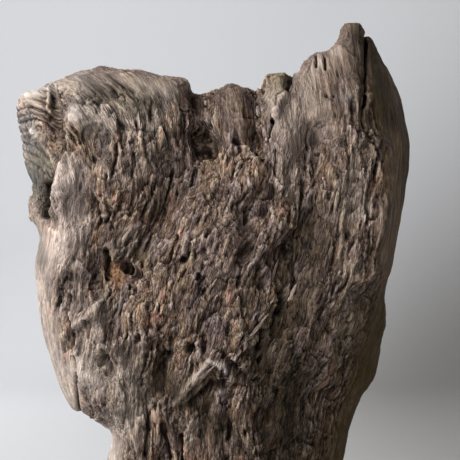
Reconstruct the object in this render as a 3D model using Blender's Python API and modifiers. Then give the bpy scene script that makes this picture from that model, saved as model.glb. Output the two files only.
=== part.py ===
"""A piece of driftwood: one weathered slab of a trunk, standing upright on its sawn foot.

The slab is worked out in three steps. Its outline is a flat sheet, the sheet is drawn out to the
thickness of the wood by a formula, and the hollows, ridges, ledges and cracks are then carved into it.
The viewer stands at -Y. X runs to the right, Z runs up, and the foot is centred on the origin.
Every size below is in millimetres.
"""

import bmesh
import bpy
import numpy as np
from mathutils import Vector, noise

MM = 0.001

# Driving dimensions
HEIGHT = 380
FOOT_DEPTH = 88
BELLY_DEPTH = 108
TIP_DEPTH = 34
BOW = 13
RIM_LIFT = 3
THINNEST = 9
SHEET_THICKNESS = 8
FOOT_ALLOWANCE = 60
OUTLINE_STEPS = 5
VOXEL = 2.8
TRIANGLES = 12600
WOOD_COLOUR = (0.235, 0.190, 0.155, 1.0)
WOOD_ROUGHNESS = 0.9
SHARP_EDGE = 1.1

# The silhouette, clockwise from the left of the foot
OUTLINE_LEFT = (
    (-79, -FOOT_ALLOWANCE), (-77, 10), (-74, 45), (-73, 73), (-69, 89), (-72, 96), (-78, 102), (-86, 106),
    (-95, 107), (-101, 113), (-107, 125), (-113, 143), (-119, 162), (-122, 185), (-124, 205), (-124, 213),
    (-122, 221), (-121, 230), (-126, 240), (-130, 250), (-129, 256), (-126, 261), (-129, 273), (-134, 287),
    (-136, 302), (-139, 313), (-139, 324), (-134, 330),
)
OUTLINE_TOP = (
    (-121, 332), (-113, 335), (-108, 339), (-100, 342), (-89, 346), (-76, 348), (-68, 346), (-55, 346),
    (-38, 342), (-21, 339), (-16, 336), (-11, 330), (-7, 329), (-3, 330), (1, 329), (6, 333),
    (14, 336), (24, 333), (29, 331), (31, 326), (34, 330), (36, 338), (44, 341), (53, 342),
    (56, 338), (60, 344), (63, 350), (69, 357), (75, 359), (80, 360), (87, 366), (89, 372),
    (92, 378), (98, HEIGHT), (104, 378), (107, 374), (108, 370),
)
OUTLINE_RIGHT = (
    (113, 366), (117, 357), (124, 346), (130, 333), (133, 322), (136, 309), (139, 296), (139, 284),
    (136, 261), (132, 240), (127, 212), (122, 184), (120, 160), (117, 144), (112, 128), (103, 115),
    (97, 99), (92, 80), (89, 68), (83, 38), (79, 10), (78, -FOOT_ALLOWANCE),
)

# The slab's thickness at its heart, as (height, depth)
THICKNESS = (
    (0, FOOT_DEPTH), (73, 91), (150, BELLY_DEPTH), (225, BELLY_DEPTH), (280, 97), (325, 74), (350, 54),
)

# How far in from the silhouette each flank turns into the front, as (height, width)
LEFT_FLANK = (
    (0, 20), (73, 18), (100, 18), (118, 24), (157, 32), (205, 28), (228, 24), (246, 22), (258, 23),
    (281, 28), (304, 36), (318, 28), (340, 16),
)
RIGHT_FLANK = (
    (0, 52), (73, 60), (118, 62), (150, 60), (178, 46), (196, 27), (212, 15), (248, 16), (269, 23), (290, 32),
    (304, 39), (325, 36), (340, 30), (357, 20), (372, 10),
)
TOP_FLANK = 15
# How far out from the middle each flank takes over from the top edge, as (height, distance)
LEFT_START = 55
RIGHT_START = ((0, 8), (140, 10), (185, 36), (215, 55))
TAKING_OVER = 35
ROUND = 2.0
PLANED = 1.2

# Hollows and ridges of the front, as (name, line through (x, z) points, half width, height)
FRONT_FORMS = (
    ("upper left basin", ((-16, 282), (-35, 246), (-60, 214)), 23, -13),
    ("basin shoulder", ((-30, 277), (-20, 262)), 11, -5),
    ("notch cavity", ((-14, 332), (-12, 318)), 7.5, -26),
    ("second cavity", ((-9, 302), (-5, 288)), 8.5, -17),
    ("groove beside the hump", ((31, 330), (29, 310), (28, 288)), 4.5, -15),
    ("right valley", ((75, 297), (63, 280), (64, 238), (54, 212), (44, 166)), 11, -11),
    ("lower valley", ((38, 153), (42, 115), (46, 73), (48, 0)), 12, -5),
    ("middle groove", ((36, 262), (31, 248), (20, 220)), 7, -9),
    ("dark mouth", ((-71, 212), (-54, 206)), 6, -8),
    ("pitted field", ((-90, 252), (-78, 250)), 10, -5),
    ("low field", ((-88, 224), (-80, 216)), 9, -4),
    ("lens", ((-75, 300), (-71, 284)), 6.5, -5),
    ("cleft under the lobe", ((-96, 323), (-82, 319), (-66, 320)), 4.5, -8),
    ("stub hole", ((-110, 326), (-108, 320)), 3.5, -7),
    ("stub groove", ((-109, 312), (-103, 303), (-102, 292), (-106, 272), (-112, 256)), 4, -5),
    ("flap recess", ((-112, 262), (-113, 243)), 5, -13),
    ("stub hollow", ((-122, 290), (-119, 274)), 8, -6),
    ("belly hole", ((-73, 147), (-67, 140)), 5.5, -11),
    ("shadow valley", ((-31, 151), (-35, 126)), 8, -10),
    ("round pit", ((-15, 155), (-13, 154)), 4.5, -7),
    ("left furrow", ((-28, 106), (-30, 80), (-30, 40)), 4.5, -6),
    ("right furrow", ((-19, 98), (-19, 76), (-17, 30)), 4.5, -5),
    ("belly seam", ((-93, 148), (-91, 128), (-90, 108)), 3.5, -4),
    ("curved furrow", ((-99, 190), (-99, 178), (-94, 170)), 4, -4),
    ("left ridge", ((-92, 308), (-96, 284), (-98, 262), (-104, 247), (-101, 229)), 7, 5),
    ("pale knob", ((-93, 314), (-86, 311)), 8, 3),
    ("lobe", ((-98, 335), (-58, 337), (-26, 331)), 11, 8),
    ("lens rim", ((-69, 303), (-65, 282)), 4, 3),
    ("flap", ((-121, 258), (-122, 246)), 5, 4),
    ("hump", ((15, 332), (17, 304)), 10, 4),
    ("pale face", ((44, 318), (53, 297)), 12, 3),
    ("nub", ((45, 336), (52, 335)), 7, 4),
    ("bank", ((-8, 226), (14, 229)), 8, 4),
    ("splinter ridge", ((44, 190), (39, 172), (23, 157), (14, 148)), 5, 5),
    ("bundle", ((-27, 121), (-8, 143), (1, 147), (8, 140)), 4.5, 5),
    ("right bulge", ((100, 262), (102, 240), (96, 206)), 15, 4),
    ("forked rib", ((-73, 187), (-84, 176), (-93, 168)), 4.5, 4),
    ("curved rib", ((-76, 182), (-69, 162), (-60, 154)), 5, 3),
    ("belly knob", ((-46, 176), (-43, 172)), 6, 3),
    ("pale plane", ((-88, 142), (-78, 134)), 8, 4),
)

# Ledges of the front, as (name, line, reach, height): the wood left of the line's run is the higher side
FRONT_LEDGES = (
    ("diagonal ledge", ((-37, 188), (-39, 214), (-27, 234), (-15, 252)), 16, -7),
    ("centre bank", ((12, 216), (28, 262)), 14, 6),
    ("keel", ((36, 0), (33, 73), (29, 115), (25, 156)), 24, 8),
)

# Hollows and ridges of the back, as on the front
BACK_FORMS = (
    ("heart trough", ((-18, 318), (-26, 240), (-12, 150), (0, 60)), 26, -13),
    ("side trough", ((72, 330), (66, 250), (52, 180)), 15, -8),
    ("left trough", ((-104, 300), (-92, 230), (-78, 160)), 12, -7),
    ("rotten pocket", ((-32, 268), (-22, 246)), 11, -12),
    ("long rib", ((22, 300), (24, 220), (26, 120), (24, 40)), 9, 5),
    ("left rib", ((-66, 310), (-62, 230), (-50, 130)), 9, 4),
    ("back knot", ((84, 176), (90, 170)), 11, 6),
    ("back knot eye", ((87, 173), (88, 172)), 4.5, -8),
    ("belly furrow", ((-52, 120), (-40, 40)), 6, -6),
)

# Cracks cut with square walls from the front, as (name, closed outline, the Y that they reach)
CRACKS = (
    ("main_crack", ((105.8, 385), (105.2, 357), (103.8, 341), (102.6, 322), (102.2, 300),
                    (104.6, 322), (106.4, 341), (108.0, 357), (109.2, 385)), 3),
    ("nub_crack", ((54.6, 345), (50.2, 330), (43.6, 326), (39.8, 311), (35.2, 293),
                   (42.2, 311), (46.0, 324), (52.6, 328), (57.6, 345)), -12),
    ("belly_crack", ((-91.6, 152), (-91.4, 130), (-91.0, 100), (-89.8, 130), (-90.6, 152)), -30),
)
CRACK_START = -90

# Long flutes that the grain leaves, as (width, length, how far they rise and fall)
FLUTES = ((17, 95, 4.5), (9, 48, 3.4))
# Weathering: how far it bends the carved lines aside, and the size of its waves
WANDER = 6.5
WANDER_WAVE = 24
# Lumps that rot and wear leave between the carved forms
LUMP_WAVE = 30
LUMP_RISE = 5.0
FRONT_LAYER = 0
BACK_LAYER = 50


def clear_scene():
    """Starts from an empty scene."""
    for thing in list(bpy.data.objects):
        bpy.data.objects.remove(thing, do_unlink=True)


def new_collection(name):
    """Makes a collection in the scene."""
    collection = bpy.data.collections.new(name)
    bpy.context.scene.collection.children.link(collection)
    return collection


def rounded_outline(points, steps):
    """Runs a smooth closed curve through the points, steps stretches between each two."""
    knots = np.array(points, dtype=float)
    before, after, beyond = np.roll(knots, 1, 0), np.roll(knots, -1, 0), np.roll(knots, -2, 0)
    curve = []
    for t in np.arange(steps) / steps:
        pull = 0.5 * (after - before)
        push = 0.5 * (beyond - knots)
        curve.append(
            (2 * t**3 - 3 * t**2 + 1) * knots + (t**3 - 2 * t**2 + t) * pull
            + (3 * t**2 - 2 * t**3) * after + (t**3 - t**2) * push
        )
    return np.stack(curve, axis=1).reshape(-1, 2)


def flat_plate(name, outline, y_front, y_back, collection):
    """Makes a plate of the given outline in X and Z, between two depths, as a closed mesh."""
    curve = bpy.data.curves.new(name, "CURVE")
    curve.dimensions = "2D"
    curve.fill_mode = "BOTH"
    curve.extrude = (y_back - y_front) / 2 * MM
    spline = curve.splines.new("POLY")
    spline.points.add(len(outline) - 1)
    for point, (x, z) in zip(spline.points, outline):
        point.co = (x * MM, z * MM, 0, 1)
    spline.use_cyclic_u = True
    flat = bpy.data.objects.new(name + "_outline", curve)
    flat.rotation_euler = (np.pi / 2, 0, 0)
    flat.location = (0, (y_front + y_back) / 2 * MM, 0)
    collection.objects.link(flat)
    bpy.context.view_layer.update()
    evaluated = flat.evaluated_get(bpy.context.evaluated_depsgraph_get())
    mesh = bpy.data.meshes.new_from_object(evaluated)
    mesh.transform(flat.matrix_world)
    weld(mesh)
    bpy.data.objects.remove(flat, do_unlink=True)
    plate = bpy.data.objects.new(name, mesh)
    collection.objects.link(plate)
    return plate


def weld(mesh):
    """Joins the loose caps of a mesh to its walls."""
    welded = bmesh.new()
    welded.from_mesh(mesh)
    bmesh.ops.remove_doubles(welded, verts=welded.verts, dist=0.00001)
    bmesh.ops.recalc_face_normals(welded, faces=welded.faces)
    welded.to_mesh(mesh)
    welded.free()


def apply_modifiers(thing):
    """Turns what the modifiers make into the object's own mesh."""
    bpy.context.view_layer.update()
    evaluated = thing.evaluated_get(bpy.context.evaluated_depsgraph_get())
    mesh = bpy.data.meshes.new_from_object(evaluated)
    thing.modifiers.clear()
    thing.data = mesh


def even_out(thing, voxel):
    """Gives the mesh even faces of one size."""
    remesh = thing.modifiers.new("even_faces", "REMESH")
    remesh.mode = "VOXEL"
    remesh.voxel_size = voxel * MM
    apply_modifiers(thing)


def get_points(thing):
    """Reads the vertices, in millimetres."""
    flat = np.empty(len(thing.data.vertices) * 3, dtype=np.float32)
    thing.data.vertices.foreach_get("co", flat)
    return flat.reshape(-1, 3).astype(float) / MM


def set_points(thing, points):
    """Writes the vertices, in millimetres."""
    thing.data.vertices.foreach_set("co", (points * MM).astype(np.float32).ravel())
    thing.data.update()


def smooth_step(low, high, value):
    """Rises from 0 to 1 between low and high."""
    t = np.clip((value - low) / (high - low), 0, 1)
    return t * t * (3 - 2 * t)


def distance_to_line(x, z, line, closed=False):
    """Gives each point's distance to a line of (x, z) points, and the side that it lies on."""
    nearest = np.full(len(x), 1e9)
    side = np.zeros(len(x))
    ends = list(line[1:]) + ([line[0]] if closed else [])
    for (x0, z0), (x1, z1) in zip(line, ends):
        run_x, run_z = x1 - x0, z1 - z0
        length = np.hypot(run_x, run_z) + 1e-9
        t = np.clip(((x - x0) * run_x + (z - z0) * run_z) / length**2, 0, 1)
        apart = np.hypot(x - x0 - t * run_x, z - z0 - t * run_z)
        across = (run_x * (z - z0) - run_z * (x - x0)) / length
        closer = apart < nearest
        nearest = np.where(closer, apart, nearest)
        side = np.where(closer, across, side)
    return nearest, side


def swelling(depth_share, roundness):
    """Rises from the silhouette to the full thickness: 2 is a round edge, 1 is a flat bevel."""
    share = np.clip(depth_share, 0, 1)
    return (1 - (1 - share) ** roundness) ** (1 / roundness)


def at_height(table, z):
    """Reads a (height, value) table at each height."""
    heights, values = zip(*table)
    return np.interp(z, heights, values)


def flank(x, z):
    """Gives the width of the turned edge and its roundness, at each point."""
    right_start = at_height(RIGHT_START, z)
    leftness = smooth_step(-LEFT_START, -LEFT_START - TAKING_OVER, x)
    rightness = smooth_step(right_start, right_start + TAKING_OVER, x)
    width = TOP_FLANK * (1 - leftness - rightness)
    width = width + leftness * at_height(LEFT_FLANK, z) + rightness * at_height(RIGHT_FLANK, z)
    stub = leftness * smooth_step(232, 250, z)
    roundness = ROUND + (PLANED - ROUND) * np.maximum(rightness, stub)
    return width, roundness


def carve(x, z, forms):
    """Adds up hollows and ridges, each a soft stroke along its line."""
    height = np.zeros(len(x))
    for _, line, half_width, rise in forms:
        apart, _ = distance_to_line(x, z, line)
        height += rise * np.exp(-((apart / half_width) ** 2))
    return height


def step_down(x, z, ledges):
    """Adds up ledges: the higher side falls away over its reach, the lower side stays."""
    height = np.zeros(len(x))
    for _, line, reach, rise in ledges:
        apart, side = distance_to_line(x, z, line)
        high_side = smooth_step(-2.5, 2.5, np.sign(rise) * side)
        height += abs(rise) * high_side * np.exp(-((apart / reach) ** 2))
    return height


def lean_at(x, z):
    """Gives the lean of the grain off the vertical, as a slope: it fans out from the neck."""
    fan = 0.0016 * x * smooth_step(380, 60, z)
    swirl = -0.28 * np.exp(-(((x + 55) / 45) ** 2)) * smooth_step(140, 250, z)
    drift = 0.26 * np.exp(-(((x - 50) / 55) ** 2)) * smooth_step(330, 200, z)
    return fan + swirl + drift


def waves(a, b, layer):
    """Gives smooth noise between -1 and 1 at each pair of values, another one for each layer."""
    return np.array([noise.noise(Vector((u, v, layer))) for u, v in zip(a, b)])


def weathered(x, z, layer):
    """Gives the flutes that follow the grain and the lumps between the carved forms."""
    across = x - lean_at(x, z) * (z - 150)
    height = LUMP_RISE * waves(x / LUMP_WAVE, z / LUMP_WAVE, layer + 0.5)
    for width, length, rise in FLUTES:
        height += rise * waves(across / width, z / length, layer + width)
    return height


def wander(x, z, layer):
    """Bends the carved lines aside, so that none runs straight."""
    bend_x = WANDER * waves(x / WANDER_WAVE, z / WANDER_WAVE, layer + 3.3)
    bend_z = WANDER * waves(x / WANDER_WAVE, z / WANDER_WAVE, layer + 9.1)
    return x + bend_x, z + bend_z


def draw_out(sheet, outline):
    """Draws the flat sheet out to the thickness of the wood, front and back."""
    points = get_points(sheet)
    x, y, z = points.T
    inside, _ = distance_to_line(x, z, [tuple(p) for p in outline], closed=True)
    width, roundness = flank(x, z)
    prong = smooth_step(58, 72, x) * smooth_step(318, 366, z)
    half = ((1 - prong) * at_height(THICKNESS, z) + prong * TIP_DEPTH) / 2
    swell = swelling(inside / width, roundness)
    back_swell = swelling(inside / (TOP_FLANK + 9), ROUND)
    front = half * swell + RIM_LIFT
    back = 0.92 * half * back_swell + RIM_LIFT
    near_rim = smooth_step(0, 9, inside)
    bent_x, bent_z = wander(x, z, FRONT_LAYER)
    carved = carve(bent_x, bent_z, FRONT_FORMS) + step_down(bent_x, bent_z, FRONT_LEDGES)
    front += near_rim * (carved + weathered(x, z, FRONT_LAYER))
    bent_x, bent_z = wander(x, z, BACK_LAYER)
    back += near_rim * (carve(bent_x, bent_z, BACK_FORMS) + weathered(x, z, BACK_LAYER))
    front = np.maximum(front, THINNEST - back)
    middle = BOW * (x / 140) ** 2 * smooth_step(0, 110, z)
    turned = np.clip(y / (SHEET_THICKNESS / 2), -1, 1)
    points[:, 1] = middle + np.where(turned < 0, front, back) * turned
    set_points(sheet, points)


def thin_out(thing, triangles):
    """Takes away the faces that the shape can spare."""
    thing.data.calc_loop_triangles()
    spare = thing.modifiers.new("spare_faces", "DECIMATE")
    spare.ratio = triangles / len(thing.data.loop_triangles)
    spare.use_collapse_triangulate = True
    apply_modifiers(thing)


def cut_away(thing, cutter):
    """Cuts one solid out of another for good."""
    cut = thing.modifiers.new(cutter.name, "BOOLEAN")
    cut.operation = "DIFFERENCE"
    cut.object = cutter
    apply_modifiers(thing)


def foot_cutter(collection):
    """Makes the block below the ground, whose top face leaves the sawn foot."""
    reach = 2 * FOOT_ALLOWANCE
    bpy.ops.mesh.primitive_cube_add(size=1, location=(0, 0, -reach / 2 * MM))
    block = bpy.context.object
    block.name = "foot_cutter"
    block.scale = (HEIGHT * MM, HEIGHT * MM, reach * MM)
    bpy.ops.object.transform_apply(scale=True)
    for owner in list(block.users_collection):
        owner.objects.unlink(block)
    collection.objects.link(block)
    return block


def hide_cutter(cutter):
    """Marks a cutter as a tool that is no part of the wood."""
    cutter.hide_render = True
    cutter.display_type = "WIRE"


def wood_material():
    """Grey-brown weathered wood."""
    material = bpy.data.materials.new("weathered_wood")
    material.use_nodes = True
    shader = material.node_tree.nodes["Principled BSDF"]
    shader.inputs["Base Color"].default_value = WOOD_COLOUR
    shader.inputs["Roughness"].default_value = WOOD_ROUGHNESS
    shader.inputs["Metallic"].default_value = 0.0
    return material


def build_driftwood():
    """Makes the whole piece of wood."""
    parts = new_collection("piece_of_driftwood")
    cutters = new_collection("cutters")
    outline = rounded_outline(OUTLINE_LEFT + OUTLINE_TOP + OUTLINE_RIGHT, OUTLINE_STEPS)
    wood = flat_plate("driftwood", outline, -SHEET_THICKNESS / 2, SHEET_THICKNESS / 2, parts)
    even_out(wood, VOXEL)
    draw_out(wood, outline)
    even_out(wood, VOXEL)
    thin_out(wood, TRIANGLES)
    block = foot_cutter(cutters)
    hide_cutter(block)
    cut_away(wood, block)
    for name, crack_outline, reach in CRACKS:
        cutter = flat_plate(name, crack_outline, CRACK_START, reach, cutters)
        hide_cutter(cutter)
        cut_away(wood, cutter)
    wood.data.materials.clear()
    wood.data.materials.append(wood_material())
    wood.data.shade_smooth()
    wood.data.set_sharp_from_angle(angle=SHARP_EDGE)


clear_scene()
build_driftwood()
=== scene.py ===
"""The weathered surface of the piece of driftwood, and the studio that it stands in.

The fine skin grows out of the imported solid: its faces are made small and even, the grain is laid over it as
coordinates across the fibres, in depth and along them, and torn fibres, pits, ribs and cracks are raised from
the surface by formulas in those coordinates. The wood is darker in the hollows of that relief.
Sizes are in millimetres, X and Z places are in the frame's own axes, and the viewer stands at -Y.
"""

import bmesh
import bpy
import numpy as np
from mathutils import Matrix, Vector

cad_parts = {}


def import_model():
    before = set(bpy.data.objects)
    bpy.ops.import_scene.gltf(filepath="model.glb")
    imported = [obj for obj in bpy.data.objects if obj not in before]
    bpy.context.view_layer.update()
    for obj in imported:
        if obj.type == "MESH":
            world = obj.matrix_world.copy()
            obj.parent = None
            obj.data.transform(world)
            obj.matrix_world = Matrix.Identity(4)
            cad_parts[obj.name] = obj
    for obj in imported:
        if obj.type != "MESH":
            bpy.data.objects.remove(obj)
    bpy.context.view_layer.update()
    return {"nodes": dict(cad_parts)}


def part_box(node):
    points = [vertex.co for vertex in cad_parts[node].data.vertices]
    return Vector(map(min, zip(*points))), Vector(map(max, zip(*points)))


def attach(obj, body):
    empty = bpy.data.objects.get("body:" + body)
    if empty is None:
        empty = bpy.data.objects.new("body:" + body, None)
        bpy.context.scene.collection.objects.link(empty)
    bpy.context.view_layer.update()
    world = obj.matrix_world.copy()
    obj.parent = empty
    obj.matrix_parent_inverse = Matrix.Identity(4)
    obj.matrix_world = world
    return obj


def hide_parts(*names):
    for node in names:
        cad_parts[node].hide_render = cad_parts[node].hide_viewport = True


MM = 0.001
NODE = "driftwood"

# How fine the skin is
SKIN_VOXEL = 0.95
SKIN_TRIANGLES = 196000
EVEN_TRIANGLES = 262000
WELD_DISTANCE = 0.002
FACET_SMOOTHING = 9
FACING_SMOOTHING = 4
# The foot's plain face, and the band above it where the relief sets in
FOOT_FLAT = 0.2
FOOT_BAND = 3.0
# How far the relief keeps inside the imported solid's box
BOX_MARGIN = 0.05
# From which turn away from the viewer a face belongs to the back, where more faces are spared
BACK_FACING = 0.2
# Rounds of blurring that the fine and the wide hollows are measured against
FINE_ROUNDS = 6
WIDE_ROUNDS = 45

# The camera, which takes in 460 by 460 pixels of 0.7 mm at the wood
PIXEL = 0.7
IMAGE_PIXELS = 460
VIEW_CENTRE = (11.9, 0.0, 233.8)
LENS = 120.0
SENSOR = 36.0

# Lean of the grain off the upright, in degrees, as ((x, z), lean): a plus leans to the right going up
GRAIN_LEAN = (
    ((-130, 318), -82), ((-122, 290), -78), ((-118, 268), -60), ((-122, 250), -15), ((-124, 210), 0),
    ((-104, 336), -62), ((-85, 339), -55), ((-58, 333), -48), ((-30, 331), -38), ((-90, 313), -32),
    ((-73, 292), -12), ((-93, 283), -8), ((-100, 255), -6), ((-44, 272), -16), ((-65, 241), -6),
    ((-34, 304), -14), ((-16, 311), 0), ((15, 318), 2), ((15, 283), 16), ((-9, 255), 24),
    ((-23, 227), 30), ((-44, 185), 12), ((40, 304), 12), ((60, 318), 12), ((82, 339), 3),
    ((99, 353), 1), ((120, 340), -12), ((133, 300), -6), ((134, 268), 4), ((89, 283), 24),
    ((48, 283), 28), ((66, 268), 32), ((44, 262), 32), ((80, 258), 30), ((74, 302), 18),
    ((110, 255), 8), ((128, 225), 8), ((26, 248), 34), ((33, 220), 36), ((61, 234), 36),
    ((61, 185), 38), ((92, 206), 28), ((117, 199), 8), ((40, 164), 40), ((61, 129), 32),
    ((86, 164), 30), ((110, 157), 12), ((96, 115), 20), ((12, 185), 30), ((-2, 157), 34),
    ((-9, 136), 40), ((19, 115), 26), ((5, 87), 10), ((-30, 101), 2), ((-58, 87), -3),
    ((-65, 115), -12), ((-79, 129), -16), ((-97, 157), -12), ((-107, 129), -22), ((-114, 185), -5),
    ((-79, 185), -26), ((-90, 164), -15), ((-58, 164), -12), ((-37, 136), 4), ((47, 87), 12),
    ((75, 87), 16), ((-44, 30), -2), ((44, 30), 8), ((0, 0), 2),
)
GRAIN_REACH = 20.0
GRAIN_CELL = 3.0
GRAIN_MARGIN = 9.0
# Where the grain bends over the top: the columns that its outline is read in and evened out over, how far it
# reaches down, which faces turn too far sideways for it, and how deep the front and the back lie there
CREST_CELL = 6.0
CREST_COLUMNS = 5
CREST_REACH = 60.0
CREST_SIDEWAYS = (0.85, 0.45)
SHEET_TURN = 0.35
SHEET_DEPTH = 42.0

# Lines along the left flank, the right facet, the top of the lobe and the prong
FLANK = ((-121, 226), (-120, 190), (-113, 150), (-98, 116))
FACET = ((112, 356), (126, 322), (130, 290), (129, 255), (124, 215))
LOBE_TOP = ((-100, 338), (-60, 339), (-22, 332))
PRONG = ((94, 368), (84, 335), (66, 312))

# Where the wood is worn smooth, as (line, half width, how smooth)
SMOOTH_AREAS = (
    (FLANK, 15, 1.0),
    (FACET, 15, 0.95),
    (((122, 200), (117, 160), (108, 125), (92, 80), (86, 30)), 13, 0.75),
    (LOBE_TOP, 11, 0.75),
    (((-92, 313), (-84, 306)), 9, 0.4),
    (((15, 332), (17, 306)), 11, 0.5),
    (PRONG, 20, 0.55),
    (((50, 310), (56, 298)), 12, 0.5),
    (((47, 338), (43, 326)), 8, 0.55),
    (((62, 334), (74, 346)), 12, 0.6),
    (((-132, 322), (-126, 292), (-122, 279)), 13, 0.85),
    (((-96, 278), (-93, 250), (-98, 222)), 10, 0.5),
    (((-70, 90), (-68, 40)), 9, 0.7),
    (((-88, 142), (-76, 132)), 9, 0.5),
)

# How much of the worn areas still counts at the back, and how worn the back is all over
WORN_BEHIND = 0.35
BACK_WORN = 0.3

# Where long fibres show on smooth wood, as (line, half width, how much)
FIBROUS_AREAS = (
    (((-132, 322), (-126, 292), (-121, 277)), 14, 1.0),
    (FACET, 15, 0.35),
    (LOBE_TOP, 12, 0.35),
    (PRONG, 18, 0.5),
    (FLANK, 13, 0.4),
)

# Small hollows and ridges of the front, as (name, line, half width, height)
FINE_FORMS = (
    ("notch cavity", ((-14, 330), (-12, 321)), 4.5, -6.0),
    ("second cavity", ((-9, 301), (-5, 289)), 5.0, -5.0),
    ("hole right of the notch", ((0, 304.5),), 2.0, -4.0),
    ("lobe's seam", ((-68, 310), (-52, 302), (-38, 300)), 1.6, -1.8),
    ("hole in the lobe's foot", ((-68, 313.5),), 1.8, -5.0),
    ("basin pit", ((-55, 292),), 1.3, -2.0),
    ("second basin pit", ((-50, 294),), 1.2, -1.5),
    ("flank slit", ((110, 281), (110, 273)), 1.0, -3.0),
    ("black pit", ((-19, 214),), 2.2, -6.0),
    ("nodule", ((-21.5, 216),), 1.4, 2.0),
    ("crescent pit", ((-72, 239),), 2.6, -4.0),
    ("crescent rim", ((-75, 243), (-71, 243.5), (-68.5, 240)), 1.1, 1.4),
    ("worm row left", ((77.5, 324.5),), 1.1, -3.0),
    ("worm row middle", ((80, 322.5),), 1.2, -3.0),
    ("worm row right", ((81.5, 325),), 1.0, -3.0),
    ("worm hole low", ((90, 172),), 0.9, -3.0),
    ("worm hole high", ((94.5, 186),), 0.9, -3.0),
    ("worm hole at the prong", ((71, 351),), 1.1, -3.0),
    ("prong check left", ((71.3, 356), (71.2, 347)), 0.9, -4.0),
    ("prong check right", ((78, 353), (77.6, 344)), 0.9, -4.0),
    ("pale chip", ((-125, 303), (-121, 299)), 1.8, 1.8),
    ("chip ridge", ((-118, 296), (-111, 287), (-106, 279)), 1.3, 1.8),
    ("stub edge", ((-113.5, 331), (-113.5, 318), (-108, 310), (-102, 303)), 1.4, 2.6),
    ("stub hole", ((-110.5, 326), (-108.5, 320)), 1.8, -3.0),
    ("stub groove", ((-110, 312), (-103, 304), (-101, 294), (-105, 272), (-111, 256), (-113, 244)), 2, -4),
    ("face edge", ((-94, 310), (-97, 297), (-101, 279), (-101, 265), (-106, 255), (-108, 244)), 1.8, 1.5),
    ("stub line top", ((-139, 324), (-126, 326), (-114, 325)), 0.7, -1.1),
    ("stub line high", ((-139, 318), (-124, 319), (-113, 316)), 0.9, -1.6),
    ("stub line upper", ((-139, 313), (-123, 314.5), (-110, 309)), 0.7, -1.1),
    ("stub line middle", ((-138, 309), (-122, 310), (-108, 303)), 0.9, -1.6),
    ("stub line lower", ((-137, 302), (-128, 303)), 0.7, -1.1),
    ("stub line low", ((-136, 296), (-122, 291), (-110, 281)), 0.9, -1.6),
    ("stub line deep", ((-134, 290), (-121, 285), (-109, 275)), 0.7, -1.1),
    ("stub line lowest", ((-132, 284), (-120, 277), (-108, 268)), 0.9, -1.6),
    ("cleft under the lobe", ((-93, 322), (-82, 319), (-70, 319)), 1.5, -1.2),
    ("lens rim", ((-71, 304), (-68, 294), (-65, 283)), 1.3, 1.8),
    ("lens rim left", ((-76, 305), (-81, 296), (-80, 284), (-74, 280)), 1.2, 1.4),
    ("knob strand", ((-84, 306), (-72, 308), (-63, 296)), 1.6, 1.6),
    ("nub knob", ((49, 326),), 3.6, 3.0),
    ("nub bevel", ((53, 340), (51.5, 330)), 3.0, -3.5),
    ("ridge below the crack", ((103, 300), (99, 290)), 1.3, 1.6),
    ("pale ridge", ((50, 237), (56, 235.5)), 1.6, 2.2),
    ("forked rib", ((-74, 186), (-84, 176), (-93, 169)), 1.8, 2.4),
    ("curved furrow", ((-97, 190), (-97.5, 178), (-92, 168)), 1.5, -3.0),
    ("belly crack", ((-93, 149), (-91.5, 129), (-91.5, 108)), 0.9, -5.0),
    ("belly hole", ((-71.5, 148), (-67, 139)), 2.2, -5.0),
    ("round pit", ((-14, 155),), 3.6, -5.5),
    ("left furrow", ((-33, 104), (-28, 82)), 2.0, -5.0),
    ("right furrow", ((-20, 96), (-18.5, 76)), 1.8, -4.5),
    ("outer furrow", ((-42, 112), (-44, 84)), 1.8, -3.5),
    ("mouth corner", ((-71, 218), (-70, 203)), 2.6, -6.0),
    ("mouth", ((-60, 209), (-48, 204)), 3.0, -5.0),
    ("middle cavity", ((40, 261), (33, 245)), 3.4, -5.0),
    ("middle groove", ((27, 232), (19, 213)), 3.6, -3.5),
    ("valley cavity", ((61, 244), (51, 219)), 4.6, -3.5),
    ("valley pocket", ((45, 191), (45, 179)), 2.8, -5.0),
    ("keel pocket", ((33, 166), (31, 156)), 3.0, -5.0),
    ("rib pocket", ((32, 209), (32.5, 196)), 2.6, -4.5),
    ("shadow valley", ((-31, 150), (-35, 128)), 4.0, -5.0),
    ("flap recess", ((-112, 262), (-113, 244)), 2.8, -6.0),
    ("splinter ridge", ((44, 190), (38.5, 172), (23, 158), (15, 149)), 1.6, 2.6),
    ("torn arch", ((-24, 119), (-12, 136), (-1, 147), (6, 145), (14, 135)), 2.4, 3.4),
    ("arch strand", ((-19, 119), (-9, 132), (-3, 139)), 1.3, 1.8),
    ("arch shade", ((-14, 119), (-2, 131), (8, 131)), 2.6, -3.5),
    ("arch side", ((20, 137), (13, 146), (6, 153)), 2.6, -3.0),
    ("main crack", ((107.9, 372), (106.6, 357), (105.2, 342), (103.8, 321), (103.2, 308)), 0.6, -5.0),
    ("main crack's tail", ((103.2, 308), (102.6, 296)), 0.8, -4.0),
    ("nub crack", ((55.5, 342), (54.2, 334), (51, 328), (45, 325), (42.5, 317), (40.5, 308)), 0.6, -1.5),
    ("nub crack's lips", ((52, 332), (45, 325), (41.5, 310)), 2.6, 1.6),
    ("nub crack's narrow", ((44.5, 322), (41.5, 311)), 2.4, 1.6),
    ("main crack's narrow", ((106.8, 326), (106.0, 317)), 2.2, 2.2),
    ("nub crack's tail", ((40.5, 308), (37.5, 298), (36, 293)), 0.9, -4.0),
    ("facet edge", ((98, 352), (98, 322), (99, 302), (106, 289), (115, 268)), 2.2, 1.4),
)

# Between which turns of a face the forms of the front fade out, and its colours
FRONT_FORMS = (0.50, -0.10)
FRONT_COLOURS = (0.60, -0.10)

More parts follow.
